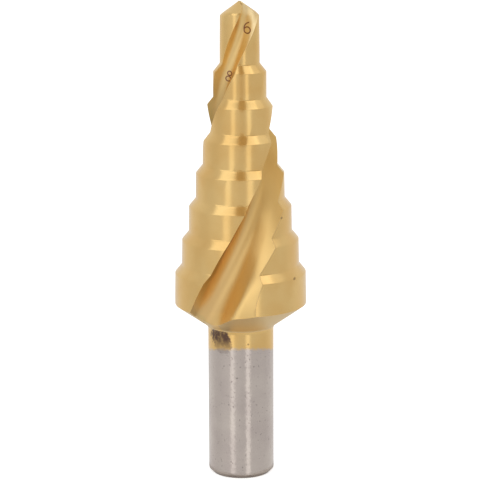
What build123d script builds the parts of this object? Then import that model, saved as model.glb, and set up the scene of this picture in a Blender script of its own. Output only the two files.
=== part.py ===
from build123d import *
import math
import os

# Two-flute spiral step drill for sheet metal, standing on the end of its shank.
#
# One solid bar of high-speed steel: a round shank, a back cone, seven drilling steps that
# shrink by one size each, a pilot and a point. The blank is built from cross-sections whose
# lands fall away behind the cutting edges, and two spiral flutes are ground out of it.
# The origin is the middle of the shank's end face and +Z runs up the axis to the point.

# --- Driving dimensions, in millimetres and degrees -----------------------------------
shank_diameter = 10.0
shank_length = 23.2
shank_chamfer = 0.6
back_cone_height = 3.5

largest_diameter = 20.0
largest_step_length = 4.85
step_reduction = 2.0            # in diameter, from each step to the next one up
step_count = 7                  # steps above which the pilot begins
step_pitch = 5.1
shoulder_half_angle = 38.6      # between a shoulder and the axis

pilot_length = 7.1              # from the top shoulder to the point's relieved corners
point_angle = 118.0
point_relief = 0.6              # how much lower the point's corners lie behind its lips
chisel_edge_length = 1.0
chisel_edge_width = 0.2

land_margin = 42.0              # angle behind a cutting edge that keeps the full radius
point_margin = 6.0              # the same on the point, where relief starts behind the lip
land_relief = 0.42              # how much lower the heel of a land lies than its edge
pilot_relief = 0.10
relief_at_half = 0.62           # share of that drop reached half-way along the relief
edge_lead = 8.0                 # angle that the blank runs on past a cutting edge
heel_allowance = 30.0           # angle that the blank's closing face takes, inside a flute

flute_count = 2
helix_angle = 28.8
edge_angle_at_base = 220.7      # where the first cutting edge starts, at the body's foot
core_radius_at_base = 6.3       # from the axis to a flute's floor, at the body's foot
core_radius_at_point = 0.6
valley_share = 0.28             # radius between rake wall and floor over the body's radius
floor_rise = 1.05               # distance from the axis to the floor's end over the core radius
floor_share = 0.62              # length of the floor over the body's radius
heel_wall_angle = 90.0          # between the rake wall and the wall that rises to the heel
heel_flare = 42.0               # how much further that wall leans back at the body's foot
heel_flare_height = 5.4         # height above the foot at which this flare has run out

sections_per_step = 3           # cross-sections of the blank along one step
turn_per_section = 5.0          # rotation between neighbouring cross-sections of a flute
cutter_overhang = 1.7           # reach of a flute's cutter along its rake wall over the radius
cutter_heel_reach = 1.3         # the same along its heel wall, from the end of the floor
cutter_margin = 1.0             # what the cutter reaches past that, and above the point

# --- Sizes that follow ----------------------------------------------------------------
shank_radius = shank_diameter / 2
largest_radius = largest_diameter / 2
radius_step = step_reduction / 2
pilot_radius = largest_radius - step_count * radius_step
shoulder_height = radius_step / math.tan(math.radians(shoulder_half_angle))
body_base = shank_length + back_cone_height
first_corner = body_base + largest_step_length
pilot_base = first_corner + (step_count - 1) * step_pitch + shoulder_height
relieved_corner = pilot_base + pilot_length
lip_corner = relieved_corner + point_relief
point_slope = math.tan(math.radians(point_angle / 2))
chisel_radius = chisel_edge_length / 2
overall_length = lip_corner + (pilot_radius - chisel_radius) / point_slope
body_length = overall_length - body_base
cone_slope = (largest_radius - pilot_radius) / body_length
flute_spacing = 360 / flute_count
spiral_rate = math.tan(math.radians(helix_angle)) / cone_slope


def flute_cone_radius(height):
    """Radius of the cone that carries the flutes, from the body's foot to the point."""
    return largest_radius - cone_slope * (height - body_base)


def edge_angle(height):
    """Angle of the first cutting edge: one helix angle all the way up the flute cone."""
    shrink = math.log(largest_radius / flute_cone_radius(height))
    return edge_angle_at_base + math.degrees(spiral_rate * shrink)


def height_at_angle(angle):
    """Height at which the first cutting edge passes an angle."""
    shrink = math.radians(angle - edge_angle_at_base) / spiral_rate
    return body_base + largest_radius * (1 - math.exp(-shrink)) / cone_slope


def polar(radius, angle, height):
    """Point at a radius and an angle about the axis."""
    turned = math.radians(angle)
    return Vector(radius * math.cos(turned), radius * math.sin(turned), height)


def blank_section(radius, relief, margin, height, edge_height):
    """Cross-section of the blank, whose lands fall away behind their cutting edges.

    Each land is an arc of full radius, a relief arc that ends lower by the relief, and a
    closing arc back out to the next edge, which lies inside a flute and is ground away.
    The lands are laid out from where the cutting edges are at the edge height.
    """
    edges = []
    for land in range(flute_count):
        edge = edge_angle(edge_height) - land * flute_spacing
        lead = edge + edge_lead
        margin_end = edge - margin
        next_lead = lead - flute_spacing
        heel = edge - flute_spacing + heel_allowance
        relief_middle = radius - relief_at_half * relief
        turns = [
            (radius, lead, radius, radius, margin_end),
            (radius, margin_end, relief_middle, radius - relief, heel),
            (radius - relief, heel, radius - relief / 2, radius, next_lead),
        ]
        for start_radius, start, middle_radius, end_radius, end in turns:
            edges.append(Edge.make_three_point_arc(
                polar(start_radius, start, height),
                polar(middle_radius, (start + end) / 2, height),
                polar(end_radius, end, height),
            ))
    return Wire(edges)


def blank_levels():
    """Radius, relief, margin, height and edge height of each section, going upwards.

    The cutting edge turns along the steps alone. Its angle is held along the back cone, each
    shoulder and the point, which makes these plain cones wherever the relief allows it.
    """
    levels = [(shank_radius, 0.0, land_margin, shank_length, body_base)]
    base = body_base
    edge_base = body_base
    for step in range(step_count):
        radius = largest_radius - step * radius_step
        corner = first_corner + step * step_pitch
        edge_top = corner + shoulder_height / 2
        for part in range(sections_per_step):
            share = part / (sections_per_step - 1)
            height = base + (corner - base) * share
            edge_height = edge_base + (edge_top - edge_base) * share
            levels.append((radius, land_relief, land_margin, height, edge_height))
        base = corner + shoulder_height
        edge_base = edge_top
    for part in range(sections_per_step + 1):
        share = part / sections_per_step
        height = pilot_base + pilot_length * share
        edge_height = edge_base + (lip_corner - edge_base) * share
        levels.append((pilot_radius, pilot_relief, land_margin, height, edge_height))
    lip_relief = point_relief * point_slope
    chisel_relief = chisel_radius - chisel_edge_width / 2
    levels.append((pilot_radius, lip_relief, point_margin, lip_corner, lip_corner))
    levels.append((chisel_radius, chisel_relief, point_margin, overall_length, lip_corner))
    return levels


def make_blank():
    """Chamfered round shank with the back cone, steps, pilot and point lofted on top."""
    shank = Cylinder(shank_radius, shank_length, align=(Align.CENTER, Align.CENTER, Align.MIN))
    rim = shank.edges().filter_by(GeomType.CIRCLE).sort_by(Axis.Z)[0]
    sections = [blank_section(*level) for level in blank_levels()]
    return chamfer(rim, shank_chamfer) + Solid.make_loft(sections, ruled=True)


def flute_section(height):
    """Cross-section of what one flute removes: rake wall, round valley, floor, heel wall.

    The rake wall runs in along the radius of the cutting edge until it meets the valley, a
    circle that touches both this wall and the core. The floor leaves that circle as its
    tangent, and the heel wall rises from the floor's end, more flatly near the body's foot.
    Both outer walls run on outwards, clear of the steps.
    """
    body_radius = flute_cone_radius(height)
    rise = (height - body_base) / body_length
    core = core_radius_at_base + rise * (core_radius_at_point - core_radius_at_base)
    valley_radius = body_radius * valley_share
    centre_along = math.sqrt(core * (core + 2 * valley_radius))
    centre = Vector(centre_along, valley_radius, 0)
    floor_end = Vector(core * floor_rise, body_radius * floor_share, 0)
    to_end = floor_end - centre
    bearing = math.degrees(math.atan2(to_end.Y, to_end.X))
    touch_angle = bearing + math.degrees(math.acos(valley_radius / to_end.length))
    wall_angle = 270
    touch = centre + polar(valley_radius, touch_angle, 0)
    valley = centre + polar(valley_radius, (touch_angle + wall_angle) / 2, 0)
    wall_foot = Vector(centre_along, 0, 0)
    wall_end = Vector(body_radius * cutter_overhang + cutter_margin, 0, 0)
    above_foot = max(0.0, height - body_base)
    flare = heel_flare * max(0.0, 1 - above_foot / heel_flare_height)
    heel_reach = body_radius * cutter_heel_reach
    heel_end = floor_end + polar(heel_reach, heel_wall_angle + flare, 0)
    wire = Wire([
        Edge.make_line(wall_end, wall_foot),
        Edge.make_three_point_arc(wall_foot, valley, touch),
        Edge.make_line(touch, floor_end),
        Edge.make_line(floor_end, heel_end),
        Edge.make_line(heel_end, wall_end),
    ])
    return wire.rotate(Axis.Z, edge_angle(height)).translate((0, 0, height))


def make_flute():
    """Space that the grinding wheel sweeps along one flute, from the shank to the point."""
    highest = overall_length + cutter_margin
    turn = edge_angle(highest) - edge_angle(shank_length)
    spans = math.ceil(turn / turn_per_section)
    angles = [edge_angle(shank_length) + turn * span / spans for span in range(spans + 1)]
    sections = [flute_section(height_at_angle(angle)) for angle in angles]
    return Solid.make_loft(sections, ruled=True)


def make_drill():
    """The blank with its flutes ground out, evenly spaced about the axis."""
    drill = make_blank()
    flute = make_flute()
    for number in range(flute_count):
        drill = drill - flute.rotate(Axis.Z, number * flute_spacing)
    return drill


os.makedirs("parts", exist_ok=True)
export_step(make_drill(), "parts/step_drill.step")
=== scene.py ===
"""Looks of a two-flute spiral step drill that stands on the end of its shank.

The drill's surface is worked out again as one fine grid from the same sizes as the solid,
so that its ground steps and flutes reflect cleanly. All sizes are in millimetres and
degrees, and meshes are turned to metres when they are made.
"""
import math

import bpy
import numpy as np
from mathutils import Matrix, Vector


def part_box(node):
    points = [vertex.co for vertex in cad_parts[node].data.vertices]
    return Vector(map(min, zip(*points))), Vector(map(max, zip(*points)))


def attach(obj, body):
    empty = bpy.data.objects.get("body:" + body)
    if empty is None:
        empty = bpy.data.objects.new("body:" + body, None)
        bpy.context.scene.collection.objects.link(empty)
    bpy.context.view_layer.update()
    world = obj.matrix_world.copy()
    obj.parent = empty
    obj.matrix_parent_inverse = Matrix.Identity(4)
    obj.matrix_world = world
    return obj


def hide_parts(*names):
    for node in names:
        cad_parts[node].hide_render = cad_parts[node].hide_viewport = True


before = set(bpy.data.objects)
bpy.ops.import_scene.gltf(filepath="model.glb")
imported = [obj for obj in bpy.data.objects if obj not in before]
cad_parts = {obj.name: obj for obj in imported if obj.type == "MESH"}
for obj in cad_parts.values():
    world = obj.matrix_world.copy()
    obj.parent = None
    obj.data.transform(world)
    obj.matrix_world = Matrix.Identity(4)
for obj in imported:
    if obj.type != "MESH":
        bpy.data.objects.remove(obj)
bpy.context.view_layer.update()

MM = 0.001

# --- Sizes of the drill ---------------------------------------------------------------
DRILL_HIGH = np.array(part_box("step_drill")[1]) / MM
OVERALL_LENGTH = DRILL_HIGH[2]
SHANK_RADIUS = 5.0
SHANK_LENGTH = 23.2
SHANK_CHAMFER = 0.6
BACK_CONE_HEIGHT = 3.5
LARGEST_RADIUS = 10.0
LARGEST_STEP_LENGTH = 4.85      # between the back cone and the lowest shoulder
RADIUS_STEP = 1.0               # from each step to the next one up
STEP_COUNT = 7                  # steps above which the pilot begins
STEP_PITCH = 5.1
SHOULDER_HALF_ANGLE = 38.6      # between a shoulder and the axis
PILOT_LENGTH = 7.1
POINT_ANGLE = 118.0
POINT_RELIEF = 0.6              # how much lower the point's corners lie behind its lips
CHISEL_EDGE_LENGTH = 1.0
CHISEL_EDGE_WIDTH = 0.2
LAND_MARGIN = 42.0              # angle behind a cutting edge that keeps the full radius
POINT_MARGIN = 6.0              # the same on the point
LAND_RELIEF = 0.42              # how much lower a land's heel lies than its edge
PILOT_RELIEF = 0.10
RELIEF_AT_HALF = 0.62           # share of that drop reached half-way along the relief
HEEL_ALLOWANCE = 30.0           # angle before the next edge by which the relief has ended
HELIX_ANGLE = 28.8
EDGE_ANGLE_AT_BASE = 220.7
CORE_RADII = (6.3, 0.6)         # from the axis to a flute's floor, at foot and point
VALLEY_SHARE = 0.28             # radius between rake wall and floor over the body's radius
FLOOR_RISE = 1.05               # from the axis to the floor's end over the core radius
FLOOR_SHARE = 0.62              # length of the floor over the body's radius
HEEL_WALL_ANGLE = 90.0          # between the rake wall and the wall up to the heel
HEEL_FLARE = 42.0               # how much further that wall leans back at the body's foot
HEEL_FLARE_HEIGHT = 5.4         # height above the foot at which this has run out

PILOT_RADIUS = LARGEST_RADIUS - STEP_COUNT * RADIUS_STEP
SHOULDER_HEIGHT = RADIUS_STEP / math.tan(math.radians(SHOULDER_HALF_ANGLE))
BODY_BASE = SHANK_LENGTH + BACK_CONE_HEIGHT
FIRST_CORNER = BODY_BASE + LARGEST_STEP_LENGTH
PILOT_BASE = FIRST_CORNER + (STEP_COUNT - 1) * STEP_PITCH + SHOULDER_HEIGHT
RELIEVED_CORNER = PILOT_BASE + PILOT_LENGTH
LIP_CORNER = RELIEVED_CORNER + POINT_RELIEF
BODY_LENGTH = OVERALL_LENGTH - BODY_BASE
CONE_SLOPE = (LARGEST_RADIUS - PILOT_RADIUS) / BODY_LENGTH
SPIRAL_RATE = math.tan(math.radians(HELIX_ANGLE)) / CONE_SLOPE

# --- Grid of the drill's surface ------------------------------------------------------
ROW_SPACING = 0.45
RUNOUT_SPACING = 0.12           # on the back cone, where the flutes run out
CORNER_RADIUS = 0.05
CORNER_ROWS = 4
COLLAR_ROWS = 12
COLLAR_CORNER = 2               # where the shank meets the back cone
COLLAR_ROUNDING = 0.6           # length of outline rounded on each side, as below
FIRST_ROOT_CORNER = 5           # where the lowest shoulder meets the step above it
ROOT_ROUNDING = 0.14
LAND_COLUMNS = 74               # round one land
FLUTE_COLUMNS = 54              # across one flute
LAND_SHARE = -1.0               # marks a land; a flute has its share of the way across
LAND_LIMIT = -0.01              # shares below this are drawn as land
SMALLEST_FLUTE_WIDTH = 1.6      # round the blank, where a flute has all but run out
PADDING_POINTS = 24
SECTION_POINTS = 1200
VALLEY_POINTS = 24
BEND_SHARE = 0.3                # of the floor's length, rounded into the heel wall
SHARP_ANGLE = 24.0              # edges that turn by more than this stay sharp


def flute_cone_radius(height):
    """Straight taper from the body's radius at its foot to the pilot's at the point."""
    return LARGEST_RADIUS - CONE_SLOPE * (height - BODY_BASE)


def edge_angle(height):
    """Angle of the first cutting edge: spiral rate times the log of the cone's shrinkage."""
    shrink = np.log(LARGEST_RADIUS / flute_cone_radius(height))
    return math.radians(EDGE_ANGLE_AT_BASE) + SPIRAL_RATE * shrink


def core_radius(height):
    """Straight taper of the distance from the axis to a flute's floor."""
    rise = (height - BODY_BASE) / BODY_LENGTH
    return CORE_RADII[0] + rise * (CORE_RADII[1] - CORE_RADII[0])


def relief_share(behind, margin):
    """Share of the relief reached behind a cutting edge.

    Zero on the margin, then the parabola through its values half-way along and at the end.
    """
    span = math.radians(180 - HEEL_ALLOWANCE) - margin
    along = np.clip((behind - margin) / span, 0, 1)
    steep = 4 * RELIEF_AT_HALF - 1
    return along * (steep + (1 - steep) * along)


def profile_corners():
    """Corners of the blank's outline from the shank's end to the point.

    Each corner is its radius, height, relief and the margin that its relief starts behind.
    """
    land = math.radians(LAND_MARGIN)
    point = math.radians(POINT_MARGIN)
    corners = [
        (SHANK_RADIUS - SHANK_CHAMFER, 0, 0, land),
        (SHANK_RADIUS, SHANK_CHAMFER, 0, land),
        (SHANK_RADIUS, SHANK_LENGTH, 0, land),
        (LARGEST_RADIUS, BODY_BASE, LAND_RELIEF, land),
    ]
    for step in range(STEP_COUNT):
        radius = LARGEST_RADIUS - step * RADIUS_STEP
        corner = FIRST_CORNER + step * STEP_PITCH
        relief_above = LAND_RELIEF if step < STEP_COUNT - 1 else PILOT_RELIEF
        corners.append((radius, corner, LAND_RELIEF, land))
        corners.append((radius - RADIUS_STEP, corner + SHOULDER_HEIGHT, relief_above, land))
    point_slope = math.tan(math.radians(POINT_ANGLE / 2))
    chisel_radius = CHISEL_EDGE_LENGTH / 2
    corners.append((PILOT_RADIUS, RELIEVED_CORNER, PILOT_RELIEF, land))
    corners.append((PILOT_RADIUS, LIP_CORNER, POINT_RELIEF * point_slope, point))
    corners.append((chisel_radius, OVERALL_LENGTH, chisel_radius - CHISEL_EDGE_WIDTH / 2, point))
    return np.array(corners)


def profile_rows():
    """Rows of the grid: the outline with each inner corner rounded by a small parabola."""
    corners = profile_corners()
    steps = np.diff(corners, axis=0)
    lengths = np.hypot(steps[:, 0], steps[:, 1])
    ways = steps / lengths[:, None]
    trims = np.full(len(corners), CORNER_RADIUS)
    trims[0] = trims[-1] = 0
    trims[COLLAR_CORNER] = COLLAR_ROUNDING
    trims[FIRST_ROOT_CORNER:FIRST_ROOT_CORNER + 2 * STEP_COUNT:2] = ROOT_ROUNDING
    rows = [corners[:1]]
    for index in range(len(steps)):
        start = corners[index] + ways[index] * trims[index]
        end = corners[index + 1] - ways[index] * trims[index + 1]
        on_back_cone = corners[index][1] == SHANK_LENGTH
        spacing = RUNOUT_SPACING if on_back_cone else ROW_SPACING
        count = max(1, math.ceil((lengths[index] - trims[index] - trims[index + 1]) / spacing))
        shares = np.linspace(0, 1, count + 1)[1:, None]
        if index:
            rows.append(start[None])
        rows.append(start + shares * (end - start))
        if index + 1 < len(steps):
            corner = corners[index + 1]
            after = corner + ways[index + 1] * trims[index + 1]
            bends = COLLAR_ROWS if index + 1 == COLLAR_CORNER else CORNER_ROWS
            turn = np.linspace(0, 1, bends + 1)[1:-1, None]
            rows.append(end * (1 - turn) ** 2 + 2 * corner * turn * (1 - turn) + after * turn ** 2)
    return np.concatenate(rows)


def flute_section(height):
    """Finely spaced points of a flute's cross-section at one height.

    In the frame of the cutting edge's radius: in along the rake wall to the valley, round
    the valley's circle, along the floor that touches it, and out up the heel wall. The
    floor's end is rounded by a parabola.
    """
    body_radius = flute_cone_radius(height)
    core = core_radius(height)
    valley = body_radius * VALLEY_SHARE
    centre = math.sqrt(core * (core + 2 * valley)) + 1j * valley
    floor_end = core * FLOOR_RISE + 1j * body_radius * FLOOR_SHARE
    to_end = floor_end - centre
    touch_turn = np.angle(to_end) + math.acos(valley / abs(to_end))
    touch = centre + valley * np.exp(1j * touch_turn)
    flare = HEEL_FLARE * np.clip(1 - (height - BODY_BASE) / HEEL_FLARE_HEIGHT, 0, 1)
    heel_way = np.exp(1j * math.radians(HEEL_WALL_ANGLE + flare))
    floor_way = (floor_end - touch) / abs(floor_end - touch)
    bend = BEND_SHARE * abs(floor_end - touch)
    turns = np.linspace(1.5 * math.pi, touch_turn, VALLEY_POINTS)
    parabola = np.linspace(0, 1, VALLEY_POINTS)
    before = floor_end - floor_way * bend
    after = floor_end + heel_way * bend
    rounding = before * (1 - parabola) ** 2 + after * parabola ** 2
    rounding += 2 * floor_end * parabola * (1 - parabola)
    return np.concatenate([
        [2 * body_radius + 0j],
        centre + valley * np.exp(1j * turns),
        rounding,
        [after + heel_way * 2 * body_radius],
    ])


def evenly_along(outline, count):
    """Points evenly spaced along an outline, with their shares of its length."""
    passed = np.concatenate([[0], np.cumsum(np.abs(np.diff(outline)))])
    share = np.linspace(0, 1, count)
    wanted = share * passed[-1]
    return np.interp(wanted, passed, outline.real) + 1j * np.interp(wanted, passed, outline.imag)


def blank_radius(angle, radius, relief, margin):
    """Radius of the unfluted blank at an angle ahead of a cutting edge."""
    behind = np.mod(-angle, math.pi)
    return radius - relief * relief_share(behind, margin)


def flute_wall(height, radius, relief, margin):
    """Part of a flute's cross-section that lies inside the blank, evenly spaced.

    Where the flute is narrower than the smallest width, or has run out, arcs of the blank
    on both sides make up that width, so that the columns never crowd together.
    """
    dense = evenly_along(flute_section(height), SECTION_POINTS)
    room = blank_radius(np.angle(dense), radius, relief, margin) - np.abs(dense)
    inside = np.nonzero(room > 0)[0]
    wall = np.empty(0, complex)
    low = high = np.angle(dense[np.argmax(room)])
    if len(inside) > 1:
        first, last = inside[0], inside[-1]
        entry = room[first] / (room[first] - room[first - 1])
        leave = room[last] / (room[last] - room[last + 1])
        start = dense[first] + entry * (dense[first - 1] - dense[first])
        end = dense[last] + leave * (dense[last + 1] - dense[last])
        wall = np.concatenate([[start], dense[first:last + 1], [end]])
        low, high = np.angle(start), np.angle(end)
    padding = (SMALLEST_FLUTE_WIDTH / radius - (high - low)) / 2
    if padding > 0:
        before = np.linspace(low - padding, low, PADDING_POINTS)
        after = np.linspace(high, high + padding, PADDING_POINTS)
        before, after = (blank_radius(turn, radius, relief, margin) * np.exp(1j * turn)
                         for turn in (before, after))
        wall = np.concatenate([before, wall[1:-1], after])
    return evenly_along(wall, FLUTE_COLUMNS)


def drill_grid():
    """Points of the drill's surface, one row for each height, and what each column is.

    A row runs round the axis: flute wall, then land, for the first cutting edge and again
    half a turn on. The land's radius is the blank's less its relief behind the next edge.
    The whole is drawn in by the hair that keeps it inside the solid's facets.
    """
    rows = profile_rows()
    radius, height, relief, margin = (rows[:, index:index + 1] for index in range(4))
    wall = np.array([flute_wall(row[1], row[0], row[2], row[3]) for row in rows])
    start = np.angle(wall[:, -1:])
    finish = np.angle(wall[:, :1]) + math.pi
    even = np.linspace(0, 1, LAND_COLUMNS + 2)[None, 1:-1]
    land_angle = start + (finish - start) * even
    land = blank_radius(land_angle, radius, relief, margin)
    half = np.concatenate([wall, land * np.exp(1j * land_angle)], axis=1)
    half = half * np.exp(1j * edge_angle(height))
    ring = np.concatenate([half, -half], axis=1) * DRILL_HIGH[0] / LARGEST_RADIUS
    heights = np.broadcast_to(height, ring.shape)
    points = np.stack([ring.real, ring.imag, heights], axis=-1)
    flute_share = np.linspace(0, 1, FLUTE_COLUMNS)[None]
    across = np.concatenate([flute_share, np.full((1, LAND_COLUMNS), LAND_SHARE)], axis=1)
    across = np.tile(across, (len(rows), 2))
    return points, across


def mesh_from_grid(name, points):
    """Mesh of a grid whose columns close into rings, with a pole at each end."""
    rows, columns = points.shape[:2]
    vertices = points.reshape(-1, 3)
    index = np.arange(rows * columns).reshape(rows, columns)
    after = np.roll(index, -1, axis=1)
    quads = np.stack([index[:-1], after[:-1], after[1:], index[1:]], axis=-1).reshape(-1, 4)
    low = np.append(vertices[index[0]].mean(0)[:2], points[0, 0, 2])
    high = np.append(vertices[index[-1]].mean(0)[:2], points[-1, 0, 2])
    vertices = np.vstack([vertices, low, high])
    bottom = np.stack([after[0], index[0], np.full(columns, len(vertices) - 2)], axis=-1)
    top = np.stack([index[-1], after[-1], np.full(columns, len(vertices) - 1)], axis=-1)
    mesh = bpy.data.meshes.new(name)
    faces = quads.tolist() + bottom.tolist() + top.tolist()
    mesh.from_pydata((vertices * MM).tolist(), [], faces)
    mesh.update()
    return mesh


def make_drill():
    """The drill as one closed mesh, with its flute walls marked for the material."""
    points, across = drill_grid()
    mesh = mesh_from_grid("drill_surface", points)
    flute = mesh.attributes.new("across_flute", "FLOAT", "POINT")
    flute.data.foreach_set("value", np.append(across.reshape(-1), [LAND_SHARE] * 2))
    mesh.polygons.foreach_set("use_smooth", np.ones(len(mesh.polygons), bool))
    mesh.set_sharp_from_angle(angle=math.radians(SHARP_ANGLE))
    drill = bpy.data.objects.new("drill_surface", mesh)
    bpy.context.scene.collection.objects.link(drill)
    return drill


# --- Materials ------------------------------------------------------------------------
# Scales of patterns are cells a millimetre, and shares run from the cutting edge to the heel.
COAT_LOW = 19.25                # height of the coating's end behind the shank
COAT_FRONT_RISE = 1.35          # how much higher it ends at the front
COAT_FADE = 0.26
COAT_FRAY = 0.7                 # how far its end strays up and down
FRAY_SCALE = 1.6
CLOUD_SCALE = 0.22              # soft clouds of tone, 4.5 mm across
CLOUD_LIMITS = (0.35, 0.65)

GOLD_TONES = ("#E8BE78", "#EDC885")
STEEL_TONES = ("#C6BAB3", "#D0C5BC")
CONE_GOLD = "#E1C591"
# The flutes' tones below are painted shade and painted light, not the coating's own colour.
RAKE_WALL_PAINTED_SHADE_TONES = ("#DDBE84", "#B6985C")         # painted shade on the rake wall, at the foot and above it
VALLEY_PAINTED_SHADE_TONES = ("#E6C184", "#C6A368")       # painted shade in the valley, low and high on the body
# painted light on the flute floor, near the point and on the heel walls at the tip
FLOOR_PAINTED_LIGHT_TONES = ("#F2CD88", "#E2B971")
POINT_PAINTED_LIGHT_GOLD = "#F2D190"
TIP_HEEL_PAINTED_LIGHT_GOLD = "#FBE2AE"
# Heights and shares over which the flutes' painted shade and painted light change.
FOOT_HEIGHTS = (27.5, 33.0)
BODY_HEIGHTS = (35.0, 49.0)
POINT_HEIGHTS = (54.0, 63.0)
POINT_STRENGTH = 0.9
TIP_HEIGHTS = (64.5, 67.5)
RAKE_END = (0.10, 0.20)
VALLEY_END = (0.30, 0.62)
TIP_HEEL_START = (0.55, 0.72)

GRINDING_LINES = 2.6            # a millimetre: drawn coarser than real ones, to show at all
GRINDING_STRETCH = 0.1          # of the lines' spacing, round the axis
FLUTE_LINES = 30.0              # across one flute, likewise
FLUTE_LINE_STRETCH = 0.15
GRINDING_DEPTH = 0.006
GRINDING_STRENGTH = 0.5
SCUFF_SCALE = 0.8
SCUFF_SQUASH = 2.4
SCUFF_DEPTH = 0.05

SMOOTH_ROUGHNESS = 0.20
FLUTE_ROUGHNESS = 0.42
HEEL_ROUGHNESS = 0.36
HEEL_START = (0.62, 0.80)
STEEL_ROUGHNESS = 0.17

STAIN_COLOUR = "#6C5447"
STAIN_PLACE = (-2.95, 0.0, 21.75)
STAIN_SIZE = (1.35, 1.0, 2.2)
STAIN_LEAN = math.radians(-20)
STAIN_EDGE = (0.38, 0.56)
STAIN_RAGGEDNESS = 1.1
STAIN_THINNING = (20.4, 21.9)   # heights between which it thins downwards
STAIN_THIN = 0.30
BLOTCH_SCALE = 1.9
BLOTCH_LIMITS = (0.38, 0.50)
BLOTCH_THIN = 0.66
SPECK_COLOUR = "#6E645E"
SPECK_SCALE = 2.4
SPECK_LIMITS = (0.66, 0.71)
SPECK_STRENGTH = 0.45
SPOT_COLOUR = "#5C4632"
SPOTS = ((6.14, 40.7, 0.16), (8.05, 31.6, 0.18), (1.10, 21.3, 0.14))    # across, height, radius
SPOT_STRENGTH = 0.55
SPOT_EDGE = (0.6, 1.4)          # over the spot's radius

MARK_COLOUR = "#8A5A4C"
MARK_WIDTH = 0.15
MARK_EDGE = (0.35, 0.75)        # over the line's width
EIGHT_RINGS = (((-1.50, 62.00), 0.31), ((-1.71, 61.20), 0.36))
EIGHT_WALL = 0.80               # share at which the heel wall begins beside the 8
SIX_RING = ((1.12, 68.45), 0.45)
SIX_STEM = ((1.54, 68.68), 0.88)
SIX_STEM_LOW = 68.45
SIX_STEM_RIGHT = 1.42
FRONT_FACING = (-0.45, -0.25)   # forward part of a surface's direction, for marks


def linear(code):
    """Linear colour of an sRGB hex value."""
    parts = [int(code[index:index + 2], 16) / 255 for index in (1, 3, 5)]
    lit = [part / 12.92 if part <= 0.04045 else ((part + 0.055) / 1.055) ** 2.4 for part in parts]
    return lit + [1.0]


def add(tree, kind, sockets, **settings):
    """Adds a node and returns its first output.

    Settings name its properties. Sockets are linked or filled, by name or by number.
    """
    node = tree.nodes.new(kind)
    for name, value in settings.items():
        setattr(node, name, value)
    live = [socket for socket in node.inputs if socket.enabled]
    for name, value in sockets.items():
        socket = live[name] if isinstance(name, int) else next(s for s in live if s.name == name)
        if isinstance(value, bpy.types.NodeSocket):
            tree.links.new(value, socket)
        else:
            socket.default_value = value
    return next((output for output in node.outputs if output.enabled), None)


def empty_material(name):
    """Material with an empty node tree."""
    material = bpy.data.materials.new(name)
    material.use_nodes = True
    material.node_tree.nodes.clear()
    return material, material.node_tree


def ring_line(tree, flat_place, ring):
    """Strength of a thin circle drawn on the front: one on the line, none beside it."""
    centre, radius = ring
    away = add(tree, "ShaderNodeVectorMath", {0: flat_place, 1: (centre[0], 0, centre[1])},
               operation="DISTANCE").node.outputs["Value"]
    off = add(tree, "ShaderNodeMath", {0: away, 1: radius}, operation="SUBTRACT")
    off = add(tree, "ShaderNodeMath", {0: off}, operation="ABSOLUTE")
    return add(tree, "ShaderNodeMapRange", {
        "Value": off, "From Min": MARK_WIDTH * MARK_EDGE[0], "From Max": MARK_WIDTH * MARK_EDGE[1],
        "To Min": 1.0, "To Max": 0.0})


def numerals(tree, flat_place, flute_share):
    """Size numbers 6 and 8 on the first flute's floor, marked as thin brown lines.

    The 8 is two circles, kept off the heel wall. The 6 is a circle with part of a wider
    one as its stem.
    """
    across, _, height = add(tree, "ShaderNodeSeparateXYZ", {"Vector": flat_place}).node.outputs
    off_wall = add(tree, "ShaderNodeMath", {0: flute_share, 1: EIGHT_WALL}, operation="LESS_THAN")
    lines = [add(tree, "ShaderNodeMath", {0: ring_line(tree, flat_place, ring), 1: off_wall},
                 operation="MULTIPLY") for ring in EIGHT_RINGS]
    lines.append(ring_line(tree, flat_place, SIX_RING))
    stem = ring_line(tree, flat_place, SIX_STEM)
    above = add(tree, "ShaderNodeMath", {0: height, 1: SIX_STEM_LOW}, operation="GREATER_THAN")
    left = add(tree, "ShaderNodeMath", {0: across, 1: SIX_STEM_RIGHT}, operation="LESS_THAN")
    for part in (above, left):
        stem = add(tree, "ShaderNodeMath", {0: stem, 1: part}, operation="MULTIPLY")
    lines.append(stem)
    mark = lines[0]
    for line in lines[1:]:
        mark = add(tree, "ShaderNodeMath", {0: mark, 1: line}, operation="MAXIMUM")
    return mark


def coating_share(tree, place, depth, height):
    """Coating over bare steel: it ends level behind, and higher and frayed at the front."""
    coat_end = add(tree, "ShaderNodeMapRange", {
        "Value": depth, "From Min": 0.0, "From Max": -SHANK_RADIUS,
        "To Min": COAT_LOW, "To Max": COAT_LOW + COAT_FRONT_RISE})
    above_end = add(tree, "ShaderNodeMath", {0: height, 1: coat_end}, operation="SUBTRACT")
    fray = add(tree, "ShaderNodeTexNoise", {"Vector": place, "Scale": FRAY_SCALE, "Detail": 3.0})
    fray = add(tree, "ShaderNodeMath", {0: fray, 1: 0.5}, operation="SUBTRACT")
    above_end = add(tree, "ShaderNodeMath", {0: fray, 1: COAT_FRAY, 2: above_end},
                    operation="MULTIPLY_ADD")
    return add(tree, "ShaderNodeMapRange", {
        "Value": above_end, "From Min": -COAT_FADE, "From Max": COAT_FADE})


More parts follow.
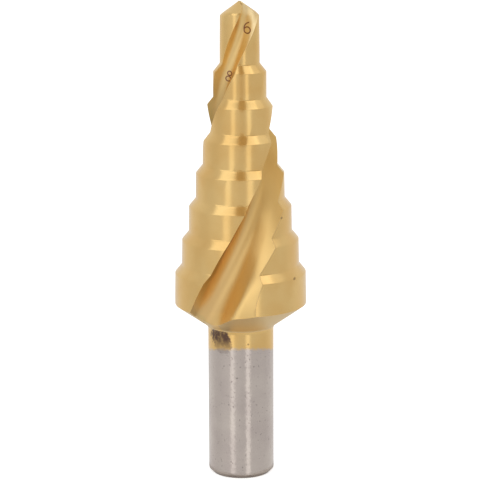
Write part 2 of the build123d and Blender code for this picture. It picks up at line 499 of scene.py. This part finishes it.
def flute_gold_painted_shade_and_light(tree, height, flute_share):
    """Gold of a flute with painted shade and light: painted shade deepens its rake wall and, high on the
    body, its valley; painted light brightens its floor, its point and the heel walls at the tip.
    """
    above_foot = add(tree, "ShaderNodeMapRange", {
        "Value": height, "From Min": FOOT_HEIGHTS[0], "From Max": FOOT_HEIGHTS[1]})
    up_body = add(tree, "ShaderNodeMapRange", {
        "Value": height, "From Min": BODY_HEIGHTS[0], "From Max": BODY_HEIGHTS[1]})
    edge, valley, floor = (
        add(tree, "ShaderNodeMix", {0: rise, "A": linear(low), "B": linear(high)}, data_type="RGBA")
        for rise, (low, high) in ((above_foot, RAKE_WALL_PAINTED_SHADE_TONES), (up_body, VALLEY_PAINTED_SHADE_TONES),
                                  (up_body, FLOOR_PAINTED_LIGHT_TONES)))
    past_rake = add(tree, "ShaderNodeMapRange", {
        "Value": flute_share, "From Min": RAKE_END[0], "From Max": RAKE_END[1]})
    gold = add(tree, "ShaderNodeMix", {0: past_rake, "A": edge, "B": valley}, data_type="RGBA")
    past_valley = add(tree, "ShaderNodeMapRange", {
        "Value": flute_share, "From Min": VALLEY_END[0], "From Max": VALLEY_END[1]})
    gold = add(tree, "ShaderNodeMix", {0: past_valley, "A": gold, "B": floor}, data_type="RGBA")
    near_point = add(tree, "ShaderNodeMapRange", {
        "Value": height, "From Min": POINT_HEIGHTS[0], "From Max": POINT_HEIGHTS[1],
        "To Min": 0.0, "To Max": POINT_STRENGTH})
    gold = add(tree, "ShaderNodeMix", {0: near_point, "A": gold, "B": linear(POINT_PAINTED_LIGHT_GOLD)},
               data_type="RGBA")
    at_tip = add(tree, "ShaderNodeMapRange", {
        "Value": height, "From Min": TIP_HEIGHTS[0], "From Max": TIP_HEIGHTS[1]})
    on_heel = add(tree, "ShaderNodeMapRange", {
        "Value": flute_share, "From Min": TIP_HEEL_START[0], "From Max": TIP_HEEL_START[1]})
    at_tip = add(tree, "ShaderNodeMath", {0: at_tip, 1: on_heel}, operation="MULTIPLY")
    return add(tree, "ShaderNodeMix", {0: at_tip, "A": gold, "B": linear(TIP_HEEL_PAINTED_LIGHT_GOLD)},
               data_type="RGBA")


def clean_colour(tree, place, height, coat, zones, flute_share):
    """Two golds in soft clouds, the cone's gold, the flutes' golds with painted shade and light, and two
    greys below.
    """
    clouds = add(tree, "ShaderNodeTexNoise", {"Vector": place, "Scale": CLOUD_SCALE, "Detail": 4.0})
    clouds = add(tree, "ShaderNodeMapRange", {
        "Value": clouds, "From Min": CLOUD_LIMITS[0], "From Max": CLOUD_LIMITS[1]})
    gold, grey = (
        add(tree, "ShaderNodeMix", {0: clouds, "A": linear(dark), "B": linear(light)}, data_type="RGBA")
        for dark, light in (GOLD_TONES, STEEL_TONES))
    gold = add(tree, "ShaderNodeMix", {0: zones["cone"], "A": gold, "B": linear(CONE_GOLD)},
               data_type="RGBA")
    # the flutes' colour carries painted shade and painted light
    painted_flute_shading = flute_gold_painted_shade_and_light(tree, height, flute_share)
    gold = add(tree, "ShaderNodeMix", {0: zones["flute"], "A": gold, "B": painted_flute_shading}, data_type="RGBA")
    return add(tree, "ShaderNodeMix", {0: coat, "A": grey, "B": gold}, data_type="RGBA")


def stain_strength(tree, place, flat_place, height, zones):
    """Dark blotchy stain on the collar, under the foot of one flute, thinner lower down."""
    offset = add(tree, "ShaderNodeVectorMath", {0: flat_place, 1: STAIN_PLACE}, operation="SUBTRACT")
    offset = add(tree, "ShaderNodeMapping", {"Vector": offset, "Rotation": (0, STAIN_LEAN, 0)},
                 vector_type="TEXTURE")
    offset = add(tree, "ShaderNodeVectorMath", {0: offset, 1: STAIN_SIZE}, operation="DIVIDE")
    reach = add(tree, "ShaderNodeVectorMath", {0: offset}, operation="LENGTH").node.outputs["Value"]
    blotch = add(tree, "ShaderNodeTexNoise", {
        "Vector": place, "Scale": BLOTCH_SCALE, "Detail": 5.0, "Roughness": 0.7})
    ragged = add(tree, "ShaderNodeMath", {0: blotch, 1: -STAIN_RAGGEDNESS, 2: reach},
                 operation="MULTIPLY_ADD")
    strength = add(tree, "ShaderNodeMapRange", {
        "Value": ragged, "From Min": STAIN_EDGE[0], "From Max": STAIN_EDGE[1],
        "To Min": 1.0, "To Max": 0.0})
    thinning = add(tree, "ShaderNodeMapRange", {
        "Value": height, "From Min": STAIN_THINNING[0], "From Max": STAIN_THINNING[1],
        "To Min": STAIN_THIN, "To Max": 1.0})
    patchy = add(tree, "ShaderNodeMapRange", {
        "Value": blotch, "From Min": BLOTCH_LIMITS[0], "From Max": BLOTCH_LIMITS[1],
        "To Min": BLOTCH_THIN, "To Max": 1.0})
    for limit in (zones["front"], zones["shank"], thinning, patchy):
        strength = add(tree, "ShaderNodeMath", {0: strength, 1: limit}, operation="MULTIPLY")
    return strength


def soiled_colour(tree, colour, place, flat_place, height, bare, zones):
    """The clean colour with its stain, specks of wear on the bare steel and three spots."""
    stain = stain_strength(tree, place, flat_place, height, zones)
    colour = add(tree, "ShaderNodeMix", {0: stain, "A": colour, "B": linear(STAIN_COLOUR)},
                 data_type="RGBA")
    specks = add(tree, "ShaderNodeTexNoise", {"Vector": place, "Scale": SPECK_SCALE, "Detail": 2.0})
    specks = add(tree, "ShaderNodeMapRange", {
        "Value": specks, "From Min": SPECK_LIMITS[0], "From Max": SPECK_LIMITS[1],
        "To Min": 0.0, "To Max": SPECK_STRENGTH})
    specks = add(tree, "ShaderNodeMath", {0: specks, 1: bare}, operation="MULTIPLY")
    colour = add(tree, "ShaderNodeMix", {0: specks, "A": colour, "B": linear(SPECK_COLOUR)},
                 data_type="RGBA")
    for across, up, radius in SPOTS:
        away = add(tree, "ShaderNodeVectorMath", {0: flat_place, 1: (across, 0, up)},
                   operation="DISTANCE").node.outputs["Value"]
        spot = add(tree, "ShaderNodeMapRange", {
            "Value": away, "From Min": radius * SPOT_EDGE[0], "From Max": radius * SPOT_EDGE[1],
            "To Min": SPOT_STRENGTH, "To Max": 0.0})
        spot = add(tree, "ShaderNodeMath", {0: spot, 1: zones["front"]}, operation="MULTIPLY")
        colour = add(tree, "ShaderNodeMix", {0: spot, "A": colour, "B": linear(SPOT_COLOUR)},
                     data_type="RGBA")
    return colour


def ground_relief(tree, place, height, bare, zones, flute_share):
    """Fine grinding lines round the axis and along the flutes, and scuffs on bare steel."""
    squeeze = (GRINDING_STRETCH, GRINDING_STRETCH, GRINDING_LINES)
    squeezed = add(tree, "ShaderNodeVectorMath", {0: place, 1: squeeze}, operation="MULTIPLY")
    round_lines = add(tree, "ShaderNodeTexNoise", {"Vector": squeezed, "Scale": 1.0, "Detail": 3.0})
    along = add(tree, "ShaderNodeMath", {0: height, 1: FLUTE_LINE_STRETCH}, operation="MULTIPLY")
    over = add(tree, "ShaderNodeMath", {0: flute_share, 1: FLUTE_LINES}, operation="MULTIPLY")
    flat = add(tree, "ShaderNodeCombineXYZ", {"X": over, "Z": along})
    flute_lines = add(tree, "ShaderNodeTexNoise", {"Vector": flat, "Scale": 1.0, "Detail": 2.0})
    lines = add(tree, "ShaderNodeMix", {0: zones["flute"], "A": round_lines, "B": flute_lines},
                data_type="FLOAT")
    relief = add(tree, "ShaderNodeBump", {
        "Height": lines, "Strength": GRINDING_STRENGTH, "Distance": GRINDING_DEPTH * MM})
    squashed = add(tree, "ShaderNodeVectorMath", {0: place, 1: (1.0, 1.0, SCUFF_SQUASH)},
                   operation="MULTIPLY")
    scuffs = add(tree, "ShaderNodeTexNoise", {"Vector": squashed, "Scale": SCUFF_SCALE, "Detail": 4.0})
    scuffs = add(tree, "ShaderNodeMath", {0: scuffs, 1: bare}, operation="MULTIPLY")
    return add(tree, "ShaderNodeBump", {
        "Height": scuffs, "Normal": relief, "Strength": 1.0, "Distance": SCUFF_DEPTH * MM})


def ground_roughness(tree, coat, zones, flute_share):
    """Smooth where it is ground round the axis, rougher in the flutes and on the cone."""
    roughness = add(tree, "ShaderNodeMix", {0: coat, "A": STEEL_ROUGHNESS, "B": SMOOTH_ROUGHNESS},
                    data_type="FLOAT")
    flute_roughness = add(tree, "ShaderNodeMapRange", {
        "Value": flute_share, "From Min": HEEL_START[0], "From Max": HEEL_START[1],
        "To Min": FLUTE_ROUGHNESS, "To Max": HEEL_ROUGHNESS})
    roughness = add(tree, "ShaderNodeMix", {0: zones["flute"], "A": roughness, "B": flute_roughness},
                    data_type="FLOAT")
    return add(tree, "ShaderNodeMix", {0: zones["cone"], "A": roughness, "B": FLUTE_ROUGHNESS},
               data_type="FLOAT")


def coated_steel():
    """Titanium-nitride-coated high-speed steel, bare and ground on the lower shank.

    The coating is a satin gold metal. Its round surfaces are ground finely round the axis
    and mirror the lights as streaks; the flutes are ground more coarsely along their length
    and only glow. The bare shank is a grey, finely ground metal with scuffs and specks.
    """
    material, tree = empty_material("titanium_nitride_coated_high_speed_steel")
    own = add(tree, "ShaderNodeTexCoord", {}).node.outputs
    place = add(tree, "ShaderNodeVectorMath", {"Vector": own["Object"], "Scale": 1 / MM},
                operation="SCALE")
    across, depth, height = add(tree, "ShaderNodeSeparateXYZ", {"Vector": place}).node.outputs
    flat_place = add(tree, "ShaderNodeCombineXYZ", {"X": across, "Z": height})
    flute_share = add(tree, "ShaderNodeAttribute", {}, attribute_name="across_flute").node.outputs["Fac"]

    above_shank = add(tree, "ShaderNodeMath", {0: height, 1: SHANK_LENGTH}, operation="GREATER_THAN")
    below_body = add(tree, "ShaderNodeMath", {0: height, 1: BODY_BASE}, operation="LESS_THAN")
    in_flute = add(tree, "ShaderNodeMath", {0: flute_share, 1: LAND_LIMIT}, operation="GREATER_THAN")
    zones = {
        "front": add(tree, "ShaderNodeMath", {0: depth, 1: 0.0}, operation="LESS_THAN"),
        "shank": add(tree, "ShaderNodeMath", {0: height, 1: SHANK_LENGTH}, operation="LESS_THAN"),
        "cone": add(tree, "ShaderNodeMath", {0: below_body, 1: above_shank}, operation="MULTIPLY"),
        "flute": add(tree, "ShaderNodeMath", {0: in_flute, 1: above_shank}, operation="MULTIPLY"),
    }
    coat = coating_share(tree, place, depth, height)
    bare = add(tree, "ShaderNodeMath", {0: 1.0, 1: coat}, operation="SUBTRACT")

    colour = clean_colour(tree, place, height, coat, zones, flute_share)
    colour = soiled_colour(tree, colour, place, flat_place, height, bare, zones)
    _, turned, _ = add(tree, "ShaderNodeSeparateXYZ", {"Vector": own["Normal"]}).node.outputs
    faces_front = add(tree, "ShaderNodeMapRange", {
        "Value": turned, "From Min": FRONT_FACING[0], "From Max": FRONT_FACING[1],
        "To Min": 1.0, "To Max": 0.0})
    mark = numerals(tree, flat_place, flute_share)
    for limit in (zones["front"], faces_front, zones["flute"]):
        mark = add(tree, "ShaderNodeMath", {0: mark, 1: limit}, operation="MULTIPLY")
    colour = add(tree, "ShaderNodeMix", {0: mark, "A": colour, "B": linear(MARK_COLOUR)},
                 data_type="RGBA")

    surface = add(tree, "ShaderNodeBsdfPrincipled", {
        "Base Color": colour, "Metallic": 1.0,
        "Roughness": ground_roughness(tree, coat, zones, flute_share),
        "Normal": ground_relief(tree, place, height, bare, zones, flute_share)})
    add(tree, "ShaderNodeOutputMaterial", {"Surface": surface})
    return material


def pale_floor():
    """Matt white paper, lifted to the backdrop's white where the camera sees it.

    Glossy and shadow rays pass through it, except close to the drill, so that the metal
    mirrors the backdrop and the lamps that reach lower than the floor.
    """
    material, tree = empty_material("pale_floor")
    path = add(tree, "ShaderNodeLightPath", {}).node.outputs
    paint = add(tree, "ShaderNodeBsdfDiffuse", {"Color": linear(FLOOR_COLOUR)})
    glow = add(tree, "ShaderNodeMath", {0: path["Is Camera Ray"], 1: FLOOR_GLOW}, operation="MULTIPLY")
    glow = add(tree, "ShaderNodeEmission", {"Color": linear(WHITE), "Strength": glow})
    paper = add(tree, "ShaderNodeAddShader", {0: paint, 1: glow})
    unseen = add(tree, "ShaderNodeMath", {0: path["Is Glossy Ray"], 1: path["Is Shadow Ray"]},
                 operation="MAXIMUM")
    place = add(tree, "ShaderNodeTexCoord", {}).node.outputs["Object"]
    away = add(tree, "ShaderNodeVectorMath", {0: place}, operation="LENGTH").node.outputs["Value"]
    beyond = add(tree, "ShaderNodeMath", {0: away, 1: CONTACT_RADIUS}, operation="GREATER_THAN")
    unseen = add(tree, "ShaderNodeMath", {0: unseen, 1: beyond}, operation="MULTIPLY")
    clear = add(tree, "ShaderNodeBsdfTransparent", {})
    surface = add(tree, "ShaderNodeMixShader", {0: unseen, 1: paper, 2: clear})
    add(tree, "ShaderNodeOutputMaterial", {"Surface": surface})
    return material


def pale_brown_card():
    """Matt pale brown board, which dims what the metal mirrors between the lights."""
    material, tree = empty_material("pale_brown_card")
    paint = add(tree, "ShaderNodeBsdfDiffuse", {"Color": linear(CARD_COLOUR)})
    add(tree, "ShaderNodeOutputMaterial", {"Surface": paint})
    return material


# --- Stage ----------------------------------------------------------------------------
FRAME_PIXELS = 480
CAMERA_ELEVATION = 12.5
CAMERA_DISTANCE = 335.0
PIXELS_PER_MM = 6.6             # at the distance of the axis
AIM_HEIGHT = 36.37
AIM_ACROSS = -0.07
CAMERA_ROLL = -0.25
SENSOR_WIDTH = 36.0
CLIP_DISTANCES = (0.01, 10.0)   # metres, as are all stage distances below
WHITE = "#FFFFFF"
CARD_COLOUR = "#D6C09A"
FLOOR_COLOUR = "#F2F2F2"
FLOOR_SIZE = 4.0
FLOOR_GLOW = 0.62
STUDIO_LIGHT = 0.68
BACKDROP_WHITE = 1.0
BACKDROP_MIRRORED = 0.80        # the backdrop as the metal mirrors it
BACKDROP_START = (0.1, 0.7)     # how far a direction points backwards, between both levels
TABLE_LIGHT = 0.74              # the white table, as mirrored by faces that look down
TABLE_START = (-0.35, -0.75)    # how far a direction points down, between both levels
CONTACT_RADIUS = 0.007
GLOW_DIRECTION = (-38.0, -8.0)  # azimuth and elevation of the window's soft glow
GLOW_SPREAD = (0.75, 1.0)       # cosine of the angle from its middle
GLOW_LIGHT = 0.08

# Name, azimuth, elevation, distance, width, height, and brightness over the studio's.
LIGHTS = (
    ("left_strip", -30, -8, 0.35, 0.085, 0.30, 0.36),
    ("left_window", -48, 27, 0.50, 0.34, 0.20, 0.70),
    ("right_strip", 24.5, -6, 0.35, 0.084, 0.34, 0.42),
    ("left_overhead", -48, 57, 0.40, 0.28, 0.14, 0.58),
    ("right_overhead", 49, 58, 0.40, 0.26, 0.14, 0.54),
    ("far_overhead", 92, 50, 0.40, 0.26, 0.14, 0.22),
)
CARDS = (
    ("low_card", 0, 12, 0.50, 0.13, 0.24),
    ("high_card", 4, 63, 0.38, 0.13, 0.24),
    ("right_card", 44, 33, 0.45, 0.28, 0.13),
)


def direction(azimuth, elevation):
    """Unit vector from the drill, its azimuth counted from the camera towards +X."""
    turn, tilt = math.radians(azimuth), math.radians(elevation)
    return Vector((math.sin(turn) * math.cos(tilt), -math.cos(turn) * math.cos(tilt), math.sin(tilt)))


def face_drill(holder, azimuth, elevation, distance):
    """Places a lamp or card round the middle of the drill, turned to face it."""
    back = direction(azimuth, elevation)
    holder.location = Vector((0, 0, AIM_HEIGHT * MM)) + back * distance
    holder.rotation_euler = back.to_track_quat("Z", "Y").to_euler()
    holder.visible_camera = False


def make_camera():
    """Camera in front of the drill, above it and looking down, with a slight roll."""
    camera = bpy.data.cameras.new("camera")
    camera.sensor_width = SENSOR_WIDTH
    camera.lens = SENSOR_WIDTH * PIXELS_PER_MM * CAMERA_DISTANCE / FRAME_PIXELS
    camera.clip_start, camera.clip_end = CLIP_DISTANCES
    holder = bpy.data.objects.new("camera", camera)
    bpy.context.scene.collection.objects.link(holder)
    pitch = Matrix.Rotation(math.radians(90 - CAMERA_ELEVATION), 4, "X")
    roll = Matrix.Rotation(math.radians(CAMERA_ROLL), 4, "Z")
    aim = Vector((AIM_ACROSS, 0, AIM_HEIGHT)) * MM
    back = direction(0, CAMERA_ELEVATION) * CAMERA_DISTANCE * MM
    holder.matrix_world = Matrix.Translation(aim + back) @ pitch @ roll
    bpy.context.scene.camera = holder


def make_floor():
    """Pale floor under the drill."""
    bpy.ops.mesh.primitive_plane_add(size=FLOOR_SIZE, location=(0, 0, 0))
    floor = bpy.context.object
    floor.name = "floor"
    floor.data.materials.append(pale_floor())


def make_light(name, azimuth, elevation, distance, width, height, brightness):
    """Area light that faces the drill; its power follows from its brightness."""
    light = bpy.data.lights.new(name, "AREA")
    light.shape = "RECTANGLE"
    light.size = width
    light.size_y = height
    light.energy = brightness * math.pi * width * height
    holder = bpy.data.objects.new(name, light)
    bpy.context.scene.collection.objects.link(holder)
    face_drill(holder, azimuth, elevation, distance)


def make_card(name, azimuth, elevation, distance, width, height):
    """Pale brown card that faces the drill."""
    bpy.ops.mesh.primitive_plane_add(size=1.0)
    card = bpy.context.object
    card.name = name
    card.scale = (width, height, 1.0)
    face_drill(card, azimuth, elevation, distance)
    card.data.materials.append(pale_brown_card())


def make_world():
    """Soft studio light in front and a white backdrop behind, which the camera sees."""
    world = bpy.data.worlds.new("studio")
    bpy.context.scene.world = world
    world.use_nodes = True
    tree = world.node_tree
    tree.nodes.clear()
    path = add(tree, "ShaderNodeLightPath", {}).node.outputs
    way = add(tree, "ShaderNodeTexCoord", {}).node.outputs["Generated"]
    _, behind, up = add(tree, "ShaderNodeSeparateXYZ", {"Vector": way}).node.outputs
    level = add(tree, "ShaderNodeMapRange", {
        "Value": behind, "From Min": BACKDROP_START[0], "From Max": BACKDROP_START[1],
        "To Min": STUDIO_LIGHT, "To Max": BACKDROP_MIRRORED})
    towards = add(tree, "ShaderNodeVectorMath", {0: way, 1: direction(*GLOW_DIRECTION)},
                  operation="DOT_PRODUCT").node.outputs["Value"]
    glow = add(tree, "ShaderNodeMapRange", {
        "Value": towards, "From Min": GLOW_SPREAD[0], "From Max": GLOW_SPREAD[1],
        "To Min": 0.0, "To Max": GLOW_LIGHT})
    level = add(tree, "ShaderNodeMath", {0: level, 1: glow}, operation="ADD")
    table = add(tree, "ShaderNodeMapRange", {
        "Value": up, "From Min": TABLE_START[0], "From Max": TABLE_START[1],
        "To Min": 0.0, "To Max": 1.0})
    level = add(tree, "ShaderNodeMix", {0: table, "A": level, "B": TABLE_LIGHT}, data_type="FLOAT")
    level = add(tree, "ShaderNodeMix", {0: path["Is Camera Ray"], "A": level, "B": BACKDROP_WHITE},
                data_type="FLOAT")
    sky = add(tree, "ShaderNodeBackground", {"Color": linear(WHITE), "Strength": level})
    add(tree, "ShaderNodeOutputWorld", {"Surface": sky})


make_camera()
make_world()
make_floor()
for light in LIGHTS:
    make_light(*light)
for card in CARDS:
    make_card(*card)

drill = make_drill()
drill.data.materials.append(coated_steel())
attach(drill, "root")
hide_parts("step_drill")

bpy.context.scene.view_settings.view_transform = "Standard"
